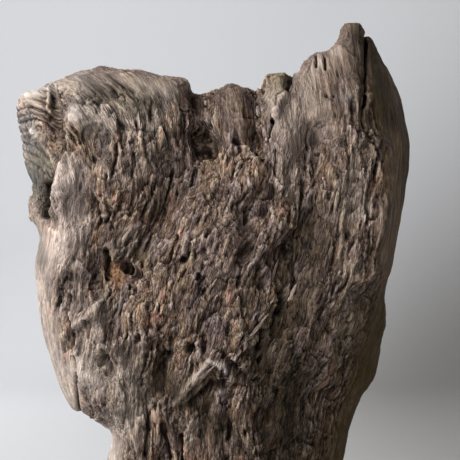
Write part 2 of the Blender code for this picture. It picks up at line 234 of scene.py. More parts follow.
# The first seed of each kind of relief
SEEDS = {"across": 101, "along": 111, "lumps": 5, "ribs": 11, "fibres": 21, "flakes": 31, "pits": 71}
# How the grain wanders, as (width, length, shift across, shift along)
WARPS = ((11.0, 30.0, 2.6, 5.0), (4.5, 12.0, 0.9, 2.5))
WARP_OFFSET = 31.7
# Lumps of any direction, as (size, rise, how much stays where the wood is smooth)
LUMPS = ((24.0, 2.8, 0.25), (11.0, 1.9, 0.15), (5.5, 0.7, 0.15))
# Ribs along the grain, as (width across, length along, rise, how much stays where the wood is smooth)
RIBS = ((7.0, 45.0, 1.1, 0.4), (3.0, 20.0, 0.48, 0.35), (1.7, 12.0, 0.36, 0.35), (1.2, 8.0, 0.26, 0.5))
# How much of the ribs long fibres take away, and the long fibres, as (width across, length along, rise)
FIBRE_CALM = 0.7
FIBRES = ((3.4, 75.0, 0.9), (1.7, 50.0, 0.6))
# Flakes that overlap like shingles, as (width across, length along, step, rise to the torn end, gap)
FLAKES = ((8.0, 22.0, 0.70, 1.3, 0.2), (4.4, 14.0, 0.55, 1.0, 0.2), (2.3, 8.0, 0.34, 0.6, 0.2))
# The share of flakes that are torn at their lower end and how much those rise, the width of the gap beside a
# flake, and how fast flakes fade where the wood is worn
FLAKES_TURNED = 0.3
TURNED_RISE = -0.6
FLAKE_EDGE = 0.22
FLAKE_FADE = 1.2
# How far the heart of a flake may stray inside its cell
HEART_SPREAD = 0.76
# Pits, as (width across, length along), how far noise of half that size frays them, and where they set in
PIT_SIZE = (3.6, 14.0)
PIT_FRAY = 0.3
PIT_START = 0.45
PIT_DEPTH = 3.0
# How much longer than wide the grain's cells are in depth
DEPTH_STRETCH = 1.5

# Splinters that stand out of the wood, as (root, tip, width at the root, how far the tip stands out)
SPLINTERS = (
    ((36.5, 194), (44.5, 215), 2.4, 2.6), ((47.5, 187), (52.5, 198), 3.6, 2.4),
    ((51.0, 185), (57.5, 198), 3.8, 2.2), ((-23, 119), (-13, 134), 3.6, 2.2),
    ((-16, 129), (-3, 146), 3.2, 2.0), ((-9, 133), (2, 146), 2.6, 1.8), ((13, 109), (18, 120), 2.4, 2.0),
    ((19, 159), (33, 170), 2.4, 2.0), ((24, 162), (38, 178), 2.4, 2.2),
    ((-62, 223), (-53, 235), 3.6, 1.4), ((31, 173), (41, 188), 2.2, 2.0),
)
SPLINTER_SIDES = 6
SPLINTER_STEPS = 7
# How deep a splinter's root is sunk, how late its tip lifts off, how it tapers, and its smallest half width
SPLINTER_ROOT = 1.2
SPLINTER_LIFT = 1.4
SPLINTER_TAPER = (2.2, 0.8)
SPLINTER_TIP = 0.12
# Its thickness for its width, the least thickness, and how much it bends and how rough it is
SPLINTER_FLATNESS = 0.55
SPLINTER_THINNEST = 0.1
SPLINTER_BEND = 0.2
SPLINTER_ROUGH = 0.22
# How far apart the grain of one splinter lies from the next one's
SPLINTER_SPACING = 40
# What a splinter keeps where the skin keeps its relief, wear, fibres and patches
SPLINTER_KEEPS = {"relief_fine": 0.25, "relief_wide": 0.8, "worn": 0.4, "fibrous": 0.5, "patch_strength": 0.2}
# How many of the skin's nearest points give the depth under a splinter, and how far those may turn away
NEAREST_POINTS = 12
AHEAD_FACING = -0.1

# Coloured patches, as (name, line, half width, colour, strength): some are the wood's own colours (moss,
# lichen, rust, slate, cream), and many lighten or darken the wood where light falls on it or shade lies on
# it, as painted light and painted shade
PALE = (0.43, 0.375, 0.330)
CREAM = (0.58, 0.50, 0.42)
SLATE = (0.075, 0.072, 0.070)
MOSS = (0.17, 0.145, 0.085)
RUST = (0.34, 0.17, 0.075)
# A dark brown used only as painted shade: in grooves, valleys and hollows, beside a rib and above the foot
PAINTED_SHADE_BROWN = (0.056, 0.040, 0.024)
PATCHES_AND_PAINTED_LIGHT = (
    # painted light: the flank that faces the lamps made paler
    ("lit flank", ((-122, 226), (-121, 190), (-113, 150), (-98, 116)), 14, (0.36, 0.315, 0.28), 0.5),
    ("lobe", ((-95, 328), (-70, 322), (-42, 312)), 14, (0.22, 0.19, 0.155), 0.55),
    ("stub top", ((-136, 327), (-112, 333)), 5, PALE, 0.6),
    # the stub's own slate grey, made darker as painted shade on its lower part
    ("stub slate", ((-131, 309), (-127, 290), (-119, 264)), 11, SLATE, 0.85),
    ("chip", ((-125, 303), (-121, 299)), 2.0, CREAM, 0.5),
    ("pale knob", ((-94, 314), (-84, 308)), 8, (0.40, 0.34, 0.305), 0.8),
    # painted light: the left edge of the face made paler where it catches the light
    ("left of the face", ((-95, 276), (-94, 240), (-103, 216)), 11, (0.48, 0.39, 0.34), 0.75),
    # painted shade in the hollow of the flank
    ("hollow of the flank", ((-91, 222), (-90, 182)), 6, (0.13, 0.10, 0.082), 0.45),
    ("brown nook", ((-90, 296), (-84, 284)), 6, (0.20, 0.135, 0.09), 0.6),
    ("lobe right", ((-48, 334), (-30, 328)), 10, (0.33, 0.28, 0.24), 0.5),
    ("lobe slate", ((-86, 338), (-72, 333)), 9, SLATE, 0.35),
    ("lobe moss", ((-60, 327), (-48, 322)), 8, MOSS, 0.35),
    ("lichen", ((-118, 283), (-110, 277)), 5, MOSS, 0.5),
    ("stub lower band", ((-132, 285), (-118, 282)), 3, (0.24, 0.20, 0.14), 0.5),
    # painted shade on the stub's lower part and under it
    ("stub foot", ((-128, 276), (-124, 264)), 8, (0.075, 0.068, 0.055), 0.85),
    ("flap", ((-126, 254), (-121, 238)), 7, (0.26, 0.21, 0.17), 0.7),
    # painted shade along the stub's groove
    ("stub groove", ((-103, 304), (-101, 294), (-105, 272), (-111, 256), (-113, 244)), 3, PAINTED_SHADE_BROWN, 0.7),
    ("lens", ((-75, 300), (-71, 284)), 7, (0.085, 0.066, 0.057), 0.85),
    ("orange streak", ((82, 313), (81, 306)), 3.2, RUST, 0.55),
    ("bluish fleck", ((89, 324), (92, 322)), 3.5, (0.36, 0.345, 0.335), 0.5),
    ("nub moss", ((48, 338), (43, 327)), 7, MOSS, 0.6),
    ("prong", ((96, 366), (84, 340), (74, 322)), 24, (0.140, 0.103, 0.081), 0.6),
    # painted light on the prong's lit side and painted shade on its shaded side
    ("prong's lit side", ((84, 358), (68, 342), (60, 324)), 8, (0.33, 0.26, 0.215), 0.6),
    ("prong's shaded side", ((100, 366), (99, 338)), 7, (0.045, 0.032, 0.025), 0.65),
    ("right ridge", ((104, 292), (97, 262)), 10, (0.080, 0.058, 0.044), 0.45),
    ("middle", ((14, 240), (4, 212)), 18, (0.26, 0.195, 0.165), 0.4),
    ("cream tuft", ((103, 255), (100, 243)), 3.5, CREAM, 0.45),
    ("mouth rust", ((-67, 208), (-62, 203)), 5, RUST, 0.6),
    ("pale flake", ((-62, 223), (-52, 236)), 5, PALE, 0.5),
    ("pale plane", ((-88, 142), (-77, 133)), 8, PALE, 0.45),
    ("neck edge", ((-66, 106), (-66, 74), (-68, 20)), 6, PALE, 0.6),
    ("torn arch", ((-24, 119), (-12, 136), (-1, 147), (6, 145)), 2.4, PALE, 0.4),
    ("nub face", ((44, 318), (54, 298)), 10, PALE, 0.35),
    # the right facet's own browner colour, made dark as painted shade on the side turned from the lamps,
    # darker still at its top and rim
    ("right facet", ((116, 325), (128, 290), (130, 255), (127, 215)), 15, (0.098, 0.067, 0.029), 0.75),
    ("top of the right facet", ((110, 364), (117, 338), (122, 312)), 12, (0.034, 0.023, 0.010), 0.85),
    ("rim of the right facet", ((134, 315), (138, 290), (137, 255)), 7, (0.032, 0.021, 0.008), 0.85),
    ("basin", ((-34, 282), (-52, 274)), 14, (0.26, 0.21, 0.175), 0.4),
    # painted shade on the knob
    ("knob shade", ((10, 328), (6, 300)), 10, (0.075, 0.055, 0.045), 0.5),
    # painted shade in the valleys, on the lower right that turns from the lamps, and in the deep valley
    ("valley", ((62, 248), (52, 212), (45, 170)), 14, PAINTED_SHADE_BROWN, 0.55),
    ("lower valley", ((40, 150), (46, 112), (50, 60)), 21, PAINTED_SHADE_BROWN, 0.75),
    ("lower right", ((116, 175), (106, 130), (88, 84), (84, 30)), 21, (0.060, 0.040, 0.015), 0.88),
    ("deep valley", ((76, 232), (70, 205), (54, 165), (50, 98)), 12, (0.028, 0.020, 0.013), 0.65),
    ("right shoulder", ((58, 320), (75, 305)), 13, (0.32, 0.25, 0.205), 0.65),
    ("shoulder's end", ((97, 290), (94, 272)), 8, (0.26, 0.205, 0.165), 0.45),
    ("left of the shoulder", ((50, 312), (49, 290), (50, 266)), 11, (0.34, 0.265, 0.22), 0.65),
    ("beside the facet", ((94, 270), (91, 242)), 9, (0.34, 0.27, 0.22), 0.6),
    ("lower beside the facet", ((93, 206), (90, 165)), 10, (0.26, 0.205, 0.155), 0.6),
    ("brow", ((-76, 308), (-50, 306)), 10, (0.33, 0.27, 0.225), 0.5),
    ("belly", ((-76, 184), (-80, 160), (-80, 140)), 12, (0.36, 0.295, 0.25), 0.55),
    ("left of the neck", ((-60, 140), (-54, 120), (-66, 96)), 13, (0.38, 0.31, 0.262), 0.7),
    # painted shade inside the stub
    ("stub's inner shade", ((-116, 290), (-114, 262), (-112, 246)), 7, (0.042, 0.035, 0.028), 0.85),
    ("flank's head", ((-121, 227), (-115, 213)), 8, (0.060, 0.048, 0.040), 0.75),
    # painted shade under the hollow, in the upper middle, in the arch's hollow and beside the rib
    ("under the hollow", ((-60, 228), (-46, 216)), 11, PAINTED_SHADE_BROWN, 0.7),
    ("upper middle shade", ((-34, 250), (-14, 262)), 14, (0.060, 0.042, 0.034), 0.5),
    ("arch hollow", ((-37, 142), (-28, 130), (-8, 114), (8, 102)), 14, PAINTED_SHADE_BROWN, 0.82),
    ("rib shade", ((28, 186), (50, 180)), 10, PAINTED_SHADE_BROWN, 0.4),
    ("above the neck", ((-14, 104), (-12, 92)), 8, (0.28, 0.22, 0.185), 0.45),
    # painted shade above the foot
    ("foot shade", ((-30, 66), (30, 66)), 24, PAINTED_SHADE_BROWN, 0.2),
)

# Noise along the grain, by name, as (width across, length along, detail, roughness, distortion)
NOISES = {
    "fibres": (0.9, 9.0, 3.0, 0.62, 0.0),
    "streaks": (2.6, 34.0, 3.0, 0.6, 0.0),
    "clouds": (18.0, 40.0, 3.0, 0.55, 0.0),
    "shreds": (1.6, 6.5, 2.0, 0.6, 0.6),
    "grit": (0.7, 1.1, 2.0, 0.7, 0.0),
    "hues": (9.0, 20.0, 3.0, 0.65, 0.0),
}
# How much each noise changes the wood's lightness, and how far it raises the bump
NOISE_TONES = {"fibres": 0.55, "shreds": 0.50, "clouds": 0.50, "grit": 0.30}
NOISE_RISES = {"fibres": 0.9, "streaks": 0.8, "shreds": 1.3, "grit": 0.40}
# How much streaks change the lightness on plain wood, and how much more where long fibres show
PLAIN_LINES = 0.5
FIBROUS_LINES = 1.5
# Bundles of fibres, as (width across, length along, gap between them, weight), and what their sum centres on
BUNDLES = ((1.9, 12.0, 0.14, 0.16), (0.9, 6.0, 0.20, 0.10))
BUNDLE_MIDDLE = 0.31
# How far the bundles sway, and how much wider than a bundle a sway is
BUNDLE_SWAY = 0.45
SWAY_WIDTH = 2.5
# How far the tones and the gaps of the bundles raise the bump
TONE_RISE = 1.4
GAP_RISE = 2.0
# The wood's middle lightness, and how much fine relief, wide relief and wear change it
LEVEL_MIDDLE = 0.55
FINE_TONE = 0.34
WIDE_TONE = 0.100
WORN_TONE = 0.10
# The wood's colour by its lightness, as (lightness, colour)
WOOD_RAMP = (
    (0.0, (0.006, 0.004, 0.003)), (0.28, (0.034, 0.021, 0.016)), (0.48, (0.105, 0.070, 0.054)),
    (0.66, (0.205, 0.147, 0.118)), (0.84, (0.325, 0.250, 0.207)), (1.0, (0.46, 0.380, 0.325)),
)
# Tints that the colour is multiplied by, from slate blue over plain to moss and pink, and how strongly
HUE_RAMP = (
    (0.34, (0.80, 0.89, 1.04)), (0.43, (0.97, 0.94, 0.99)), (0.50, (1.0, 1.0, 1.0)),
    (0.56, (1.04, 1.01, 0.78)), (0.64, (1.24, 0.91, 0.83)),
)
HUE_SHARE = 0.8
# How a patch's colour follows the wood's lightness: by how much, and from what start
PATCH_LIGHTNESS = (1.5, 0.12)
# Roughness of torn wood, and how much less it is on worn wood
ROUGHNESS = 0.97
ROUGHNESS_WORN_OFF = 0.22
SPECULAR = 0.14
# Depth of the bump, and how much of it worn wood loses
BUMP_DISTANCE = 1.5
BUMP_WORN_OFF = 0.6


def smooth_step(low, high, value):
    """Rises from 0 to 1 between low and high."""
    t = np.clip((value - low) / (high - low), 0, 1)
    return t * t * (3 - 2 * t)


def scatter(cells, seed):
    """Gives each whole-numbered cell a fixed value between 0 and 1."""
    a, b, c = (cells[..., i].astype(np.int64).astype(np.uint32) for i in range(3))
    mixed = a * np.uint32(0x8DA6B343) ^ b * np.uint32(0xD8163841) ^ c * np.uint32(0xCB1AB31F)
    mixed ^= np.uint32((seed * 0x9E3779B1) & 0xFFFFFFFF)
    mixed ^= mixed >> np.uint32(15)
    mixed = mixed * np.uint32(0x2C1B3C6D)
    mixed ^= mixed >> np.uint32(12)
    mixed = mixed * np.uint32(0x297A2D39)
    mixed ^= mixed >> np.uint32(15)
    return mixed.astype(np.float64) / 4294967295.0


def waves(spots, seed):
    """Gives smooth noise between -1 and 1 at each spot."""
    cell = np.floor(spots)
    t = spots - cell
    t = t * t * t * (t * (6 * t - 15) + 10)
    total = np.zeros(len(spots))
    for corner in np.ndindex(2, 2, 2):
        corner = np.array(corner)
        weight = np.prod(np.where(corner == 1, t, 1 - t), axis=1)
        total += weight * scatter(cell + corner, seed)
    return 2 * total - 1


def tufts(spots, seed):
    """Splits space into cells: gives each spot its cell's chance, its place along the cell and its edge."""
    home = np.floor(spots)
    nearest = np.full(len(spots), 9.0)
    second = np.full(len(spots), 9.0)
    chance = np.zeros(len(spots))
    along = np.zeros(len(spots))
    for step in np.ndindex(3, 3, 3):
        cell = home + np.array(step) - 1
        stray = np.stack([scatter(cell, seed + k) for k in range(3)], axis=1)
        heart = cell + (1 - HEART_SPREAD) / 2 + HEART_SPREAD * stray
        apart = spots - heart
        reach = np.sqrt((apart**2).sum(axis=1))
        closer = reach < nearest
        second = np.where(closer, nearest, np.minimum(second, reach))
        nearest = np.where(closer, reach, nearest)
        chance = np.where(closer, scatter(cell, seed + 7), chance)
        along = np.where(closer, apart[:, 2], along)
    return chance, along, second - nearest


def distance_to_line(x, z, line):
    """Gives each point's distance to a line of (x, z) points, or to a single point."""
    nearest = np.full(len(x), 1e9)
    for (x0, z0), (x1, z1) in zip(line, line[1:] or line):
        run_x, run_z = x1 - x0, z1 - z0
        length = np.hypot(run_x, run_z) + 1e-9
        t = np.clip(((x - x0) * run_x + (z - z0) * run_z) / length**2, 0, 1)
        nearest = np.minimum(nearest, np.hypot(x - x0 - t * run_x, z - z0 - t * run_z))
    return nearest


def read_points(mesh):
    """Reads a mesh's vertices, in millimetres."""
    flat = np.empty(len(mesh.vertices) * 3, dtype=np.float32)
    mesh.vertices.foreach_get("co", flat)
    return flat.reshape(-1, 3).astype(float) / MM


def write_points(mesh, points):
    """Writes a mesh's vertices, in millimetres."""
    mesh.vertices.foreach_set("co", (points * MM).astype(np.float32).ravel())
    mesh.update()


def read_normals(mesh):
    """Reads a mesh's vertex normals."""
    flat = np.empty(len(mesh.vertices) * 3, dtype=np.float32)
    mesh.vertex_normals.foreach_get("vector", flat)
    return flat.reshape(-1, 3).astype(float)


def read_edges(mesh):
    """Reads the two ends of each edge of a mesh."""
    flat = np.empty(len(mesh.edges) * 2, dtype=np.int32)
    mesh.edges.foreach_get("vertices", flat)
    return flat.reshape(-1, 2)


def blur(values, edges, rounds):
    """Spreads values over the surface, each round to the next vertices."""
    count = len(values)
    ends = np.concatenate([edges[:, 0], edges[:, 1]])
    others = np.concatenate([edges[:, 1], edges[:, 0]])
    shares = np.maximum(np.bincount(ends, minlength=count), 1)
    values = values.copy()
    columns = values.reshape(count, -1)
    for _ in range(rounds):
        for k in range(columns.shape[1]):
            around = np.bincount(ends, weights=columns[others, k], minlength=count) / shares
            columns[:, k] = 0.5 * columns[:, k] + 0.5 * around
    return columns.reshape(values.shape)


def apply_modifiers(thing):
    """Turns what the modifiers make into the object's own mesh."""
    bpy.context.view_layer.update()
    evaluated = thing.evaluated_get(bpy.context.evaluated_depsgraph_get())
    mesh = bpy.data.meshes.new_from_object(evaluated)
    thing.modifiers.clear()
    thing.data = mesh


def grain_field(low, high):
    """Lays the grain over X and Z: a grid of one coordinate across the fibres and one along them."""
    xs = np.arange(low[0] - GRAIN_MARGIN, high[0] + GRAIN_MARGIN, GRAIN_CELL)
    zs = np.arange(low[2] - GRAIN_MARGIN, high[2] + GRAIN_MARGIN, GRAIN_CELL)
    x, z = np.meshgrid(xs, zs, indexing="ij")
    total, weight = np.zeros(x.shape), np.full(x.shape, 1e-9)
    for (spot_x, spot_z), lean in GRAIN_LEAN:
        near = np.exp(-((x - spot_x) ** 2 + (z - spot_z) ** 2) / GRAIN_REACH**2)
        total += near * np.radians(lean)
        weight += near
    lean = total / weight
    across = settle(np.cos(lean), -np.sin(lean))
    along = settle(np.sin(lean), np.cos(lean))
    return xs, zs, across, along


def settle(slope_x, slope_z):
    """Finds the grid of values whose slopes come nearest to the wanted ones, by way of its waves."""
    step_x = GRAIN_CELL * (slope_x[1:] + slope_x[:-1]) / 2
    step_z = GRAIN_CELL * (slope_z[:, 1:] + slope_z[:, :-1]) / 2
    source = np.zeros(slope_x.shape)
    source[:-1] += step_x
    source[1:] -= step_x
    source[:, :-1] += step_z
    source[:, 1:] -= step_z
    mirrored = np.concatenate([source, source[::-1]])
    mirrored = np.concatenate([mirrored, mirrored[:, ::-1]], axis=1)
    bend_x, bend_z = (2 * np.cos(2 * np.pi * np.arange(size) / size) - 2 for size in mirrored.shape)
    bend = bend_x[:, None] + bend_z[None, :]
    bend[0, 0] = 1
    spectrum = np.fft.fft2(mirrored) / bend
    spectrum[0, 0] = 0
    return np.fft.ifft2(spectrum).real[: source.shape[0], : source.shape[1]]


def read_grid(x, z, xs, zs, grid):
    """Reads a grid between its cells."""
    u = np.clip((x - xs[0]) / GRAIN_CELL, 0, len(xs) - 1.001)
    v = np.clip((z - zs[0]) / GRAIN_CELL, 0, len(zs) - 1.001)
    i, j = u.astype(int), v.astype(int)
    u, v = u - i, v - j
    return (
        grid[i, j] * (1 - u) * (1 - v) + grid[i + 1, j] * u * (1 - v)
        + grid[i, j + 1] * (1 - u) * v + grid[i + 1, j + 1] * u * v
    )


def grain_spots(grain, width, length):
    """Scales the grain's coordinates: width is across the fibres, length is along them."""
    return grain / np.array([width, width * DEPTH_STRETCH, length])


def area_shares(x, z, areas):
    """Says how far each point lies in the areas, from 0 to 1."""
    shares = np.zeros(len(x))
    for line, half_width, much in areas:
        shares = np.maximum(shares, much * np.exp(-((distance_to_line(x, z, line) / half_width) ** 4)))
    return shares


def smoothness(x, z, front):
    """Says how smooth the wood is worn, from 0 where it is torn to 1 where it is polished."""
    worn = area_shares(x, z, SMOOTH_AREAS) * (WORN_BEHIND + (1 - WORN_BEHIND) * front)
    return np.maximum(worn, BACK_WORN * (1 - front))


def warp_grain(grain):
    """Lets the grain wander."""
    grain = grain.copy()
    for number, (width, length, sideways, lengthways) in enumerate(WARPS):
        spots = grain_spots(grain, width, length)
        grain[:, 0] += sideways * waves(spots, SEEDS["across"] + number)
        grain[:, 2] += lengthways * waves(spots + WARP_OFFSET, SEEDS["along"] + number)
    return grain


def ridges(grain, width, length, seed):
    """Gives ridges along the grain, between -1 and 1."""
    return 1 - 2 * np.abs(waves(grain_spots(grain, width, length), seed))


def flake_height(grain, number, flake):
    """Gives the height of one layer of flakes, which rise to their torn ends."""
    width, length, step, slope, gap = flake
    chance, along, edge = tufts(grain_spots(grain, width, length), SEEDS["flakes"] + 10 * number)
    torn_end = np.where(chance > FLAKES_TURNED, 1.0, TURNED_RISE)
    return step * (2 * chance - 1) + slope * torn_end * along - gap * smooth_step(FLAKE_EDGE, 0.0, edge)


def pit_depth(grain):
    """Gives the depth of the pits."""
    width, length = PIT_SIZE
    deep = waves(grain_spots(grain, width, length), SEEDS["pits"])
    deep += PIT_FRAY * waves(grain_spots(grain, width / 2, length / 2), SEEDS["pits"] + 1)
    return PIT_DEPTH * smooth_step(PIT_START, 1.0, deep)


def relief(points, normals, grain):
    """Gives how far the surface stands out at each point, and how smooth and how fibrous it is there."""
    x, _, z = points.T
    front = smooth_step(*FRONT_FORMS, normals[:, 1])
    smooth = smoothness(x, z, front)
    torn = 1 - smooth
    fibrous = front * area_shares(x, z, FIBROUS_AREAS)
    grain = warp_grain(grain)
    height = np.zeros(len(x))
    for number, (size, rise, kept) in enumerate(LUMPS):
        share = (kept + (1 - kept) * torn) * (1 - fibrous)
        height += rise * share * waves(points / size, SEEDS["lumps"] + number)
    for number, (width, length, rise, kept) in enumerate(RIBS):
        share = (kept + (1 - kept) * torn) * (1 - FIBRE_CALM * fibrous)
        height += rise * share * ridges(grain, width, length, SEEDS["ribs"] + number)
    for number, (width, length, rise) in enumerate(FIBRES):
        height += rise * fibrous * ridges(grain, width, length, SEEDS["fibres"] + number)
    for number, flake in enumerate(FLAKES):
        height += torn**FLAKE_FADE * flake_height(grain, number, flake)
    height -= torn * pit_depth(grain)
    for _, line, half_width, rise in FINE_FORMS:
        height += front * rise * np.exp(-((distance_to_line(x, z, line) / half_width) ** 2))
    return height, smooth, fibrous


def patch_and_painted_light_colours(x, z, front):
    """Gives each point the colour of the patches that it lies in, painted light and painted shade among them,
    and how strong it is.
    """
    colour = np.zeros((len(x), 3))
    strength = np.zeros(len(x))
    for _, line, half_width, tint, much in PATCHES_AND_PAINTED_LIGHT:
        share = much * front * np.exp(-((distance_to_line(x, z, line) / half_width) ** 2))
        colour = colour * (1 - share[:, None]) + np.array(tint) * share[:, None]
        strength = strength * (1 - share) + share
    return colour / np.maximum(strength, 1e-4)[:, None], strength


def store(mesh, kept):
    """Keeps named values or vectors for the vertices of a mesh."""
    for name, values in kept.items():
        kind, field = ("FLOAT", "value") if values.ndim == 1 else ("FLOAT_VECTOR", "vector")
        made = mesh.attributes.new(name, kind, "POINT")
        made.data.foreach_set(field, values.astype(np.float32).ravel())


def crest_height(x, z, low, high):
    """Gives the height of the top outline over each point."""
    columns = np.arange(low[0], high[0] + CREST_CELL, CREST_CELL)
    column = np.clip(((x - low[0]) / CREST_CELL).astype(int), 0, len(columns) - 1)
    tops = np.zeros(len(columns))
    np.maximum.at(tops, column, z)
    padded = np.pad(tops, CREST_COLUMNS // 2, "edge")
    tops = np.convolve(padded, np.full(CREST_COLUMNS, 1 / CREST_COLUMNS), "valid")
    return np.interp(x, columns + CREST_CELL / 2, tops)


def grain_depth(points, facing, low, high):
    """Gives the grain's third coordinate: depth, but bent so that fibres run on over the top."""
    x, y, z = points.T
    under_crest = smooth_step(CREST_REACH, CREST_REACH / 2, crest_height(x, z, low, high) - z)
    under_crest *= smooth_step(*CREST_SIDEWAYS, np.abs(facing[:, 0]))
    sheet = SHEET_DEPTH * (1 - 2 * smooth_step(SHEET_TURN, -SHEET_TURN, facing[:, 1]))
    return y + (sheet - y) * under_crest


def even_skin(source):
    """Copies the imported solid's mesh with small even faces."""
    skin = bpy.data.objects.new("driftwood_skin", source.data.copy())
    bpy.context.scene.collection.objects.link(skin)
    weld_mesh(skin.data)
    remesh = skin.modifiers.new("even_faces", "REMESH")
    remesh.mode = "VOXEL"
    remesh.voxel_size = SKIN_VOXEL * MM
    apply_modifiers(skin)
    return skin


def make_skin(source, box):
    """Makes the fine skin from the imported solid."""
    low, high = (np.array(corner) / MM for corner in box)
    skin = even_skin(source)
    mesh = skin.data
    edges = read_edges(mesh)
    points = read_points(mesh)
    above_foot = smooth_step(FOOT_FLAT, FOOT_BAND, points[:, 2] - low[2])
    rounded = blur(points, edges, FACET_SMOOTHING)
    points += above_foot[:, None] * (rounded - points)
    write_points(mesh, points)
    normals = read_normals(mesh)
    facing = blur(normals, edges, FACING_SMOOTHING)
    facing /= np.maximum(np.linalg.norm(facing, axis=1), 1e-6)[:, None]
    xs, zs, across, along = grain_field(low, high)
    x, _, z = points.T
    depth = grain_depth(points, facing, low, high)
    grain = np.stack([read_grid(x, z, xs, zs, across), depth, read_grid(x, z, xs, zs, along)], axis=1)
    height, smooth, fibrous = relief(points, normals, grain)
    height *= above_foot
    moved = np.clip(points + facing * height[:, None], low + BOX_MARGIN, high - BOX_MARGIN)
    moved[:, 2] = np.where(above_foot > 0, moved[:, 2], points[:, 2])
    write_points(mesh, moved)
    colour, strength = patch_and_painted_light_colours(x, z, smooth_step(*FRONT_COLOURS, facing[:, 1]))
    store(mesh, {
        "grain": grain,
        "relief_fine": height - blur(height, edges, FINE_ROUNDS),
        "relief_wide": height - blur(height, edges, WIDE_ROUNDS),
        "worn": smooth,
        "fibrous": fibrous,
        "patch": colour,
        "patch_strength": strength,
    })
    mark_back(skin, facing)
    spare_faces(skin, EVEN_TRIANGLES)
    spare_faces(skin, SKIN_TRIANGLES, "back")
    write_points(skin.data, np.clip(read_points(skin.data), low, high))
    skin.data.shade_smooth()
    return skin


def weld_mesh(mesh):
    """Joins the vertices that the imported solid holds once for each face."""
    welded = bmesh.new()
    welded.from_mesh(mesh)
    bmesh.ops.remove_doubles(welded, verts=welded.verts, dist=WELD_DISTANCE * MM)
    welded.to_mesh(mesh)
    welded.free()


def mark_back(skin, facing):
    """Marks the vertices at the back."""
    group = skin.vertex_groups.new(name="back")
    group.add(np.flatnonzero(facing[:, 1] > BACK_FACING).tolist(), 1.0, "REPLACE")


def spare_faces(skin, wanted, group=""):
    """Takes away the faces that the skin, or a group of its vertices, can best spare."""
    skin.data.calc_loop_triangles()
    count = len(skin.data.loop_triangles)
    if count <= wanted:
        return
    spare = skin.modifiers.new("spare_faces", "DECIMATE")
    spare.ratio = wanted / count
    spare.use_collapse_triangulate = True
    spare.vertex_group = group
    apply_modifiers(skin)


def node(tree, kind, **settings):
    """Adds a node and sets its values and inputs by name."""
    made = tree.nodes.new(kind)
    for name, value in settings.items():
        if name.startswith("in_"):
            made.inputs[name[3:].replace("_", " ")].default_value = value
        else:
            setattr(made, name, value)
    return made


def attribute(tree, name):
    """Reads one of the values kept on the skin."""
    return node(tree, "ShaderNodeAttribute", attribute_name=name)


def math_node(tree, operation, a, b=None, c=None, clamp=False):
    """Adds a sum, where a, b and c are sockets or numbers."""
    made = node(tree, "ShaderNodeMath", operation=operation, use_clamp=clamp)
    for socket, value in zip(made.inputs, (a, b, c)):
        if value is None:
            continue
        if isinstance(value, (int, float)):
            socket.default_value = value
        else:
            tree.links.new(value, socket)
    return made.outputs[0]


def centred(tree, noise):
    """Moves noise from around a half to around zero."""
    return math_node(tree, "SUBTRACT", noise, 0.5)


def scaled_grain(tree, grain, width, length):
    """Scales the grain's coordinates for a texture."""
    scale = node(tree, "ShaderNodeVectorMath", operation="MULTIPLY")
    tree.links.new(grain, scale.inputs[0])
    scale.inputs[1].default_value = (1 / width, 1 / (width * DEPTH_STRETCH), 1 / length)
    return scale.outputs[0]


def noise_node(tree, grain, noise):
    """Adds a noise texture that is stretched along the grain."""
    width, length, detail, rough, distortion = noise
    made = node(tree, "ShaderNodeTexNoise", in_Scale=1.0)
    made.inputs["Detail"].default_value = detail
    made.inputs["Roughness"].default_value = rough
    made.inputs["Distortion"].default_value = distortion
    tree.links.new(scaled_grain(tree, grain, width, length), made.inputs["Vector"])
    return made.outputs["Fac"]


def bundle_nodes(tree, grain, width, length, gap):
    """Splits the wood into bundles of fibres: gives each bundle's tone, and 0 in the gaps between them."""
    sway = node(tree, "ShaderNodeTexNoise", in_Scale=1.0, in_Detail=2.0)
    tree.links.new(scaled_grain(tree, grain, SWAY_WIDTH * width, length), sway.inputs["Vector"])
    shift = node(tree, "ShaderNodeVectorMath", operation="SCALE", in_Scale=BUNDLE_SWAY)
    tree.links.new(sway.outputs["Color"], shift.inputs[0])
    place = node(tree, "ShaderNodeVectorMath", operation="ADD")
    tree.links.new(scaled_grain(tree, grain, width, length), place.inputs[0])
    tree.links.new(shift.outputs[0], place.inputs[1])
    bundle = node(tree, "ShaderNodeTexVoronoi", feature="F1", in_Scale=1.0)
    edge = node(tree, "ShaderNodeTexVoronoi", feature="DISTANCE_TO_EDGE", in_Scale=1.0)
    for cells in (bundle, edge):
        tree.links.new(place.outputs[0], cells.inputs["Vector"])
    split = node(tree, "ShaderNodeSeparateColor")
    tree.links.new(bundle.outputs["Color"], split.inputs[0])
    whole = node(tree, "ShaderNodeMapRange", interpolation_type="SMOOTHSTEP", in_From_Max=gap)
    tree.links.new(edge.outputs["Distance"], whole.inputs["Value"])
    return split.outputs[0], whole.outputs[0]


def ramp_node(tree, value, stops):
    """Turns a value into a colour."""
    made = node(tree, "ShaderNodeValToRGB")
    elements = made.color_ramp.elements
    while len(elements) > 1:
        elements.remove(elements[-1])
    elements[0].position, elements[0].color = stops[0][0], (*stops[0][1], 1)
    for position, colour in stops[1:]:
        elements.new(position).color = (*colour, 1)
    tree.links.new(value, made.inputs["Fac"])
    return made.outputs["Color"]


def mix_colours(tree, share, first, second, blend="MIX"):
    """Mixes two colours."""
    made = node(tree, "ShaderNodeMix", data_type="RGBA", blend_type=blend)
    for socket, value in ((made.inputs[0], share), (made.inputs[6], first), (made.inputs[7], second)):
        if isinstance(value, (int, float)):
            socket.default_value = value
        elif isinstance(value, tuple):
            socket.default_value = (*value, 1)
        else:
            tree.links.new(value, socket)
    return made.outputs[2]


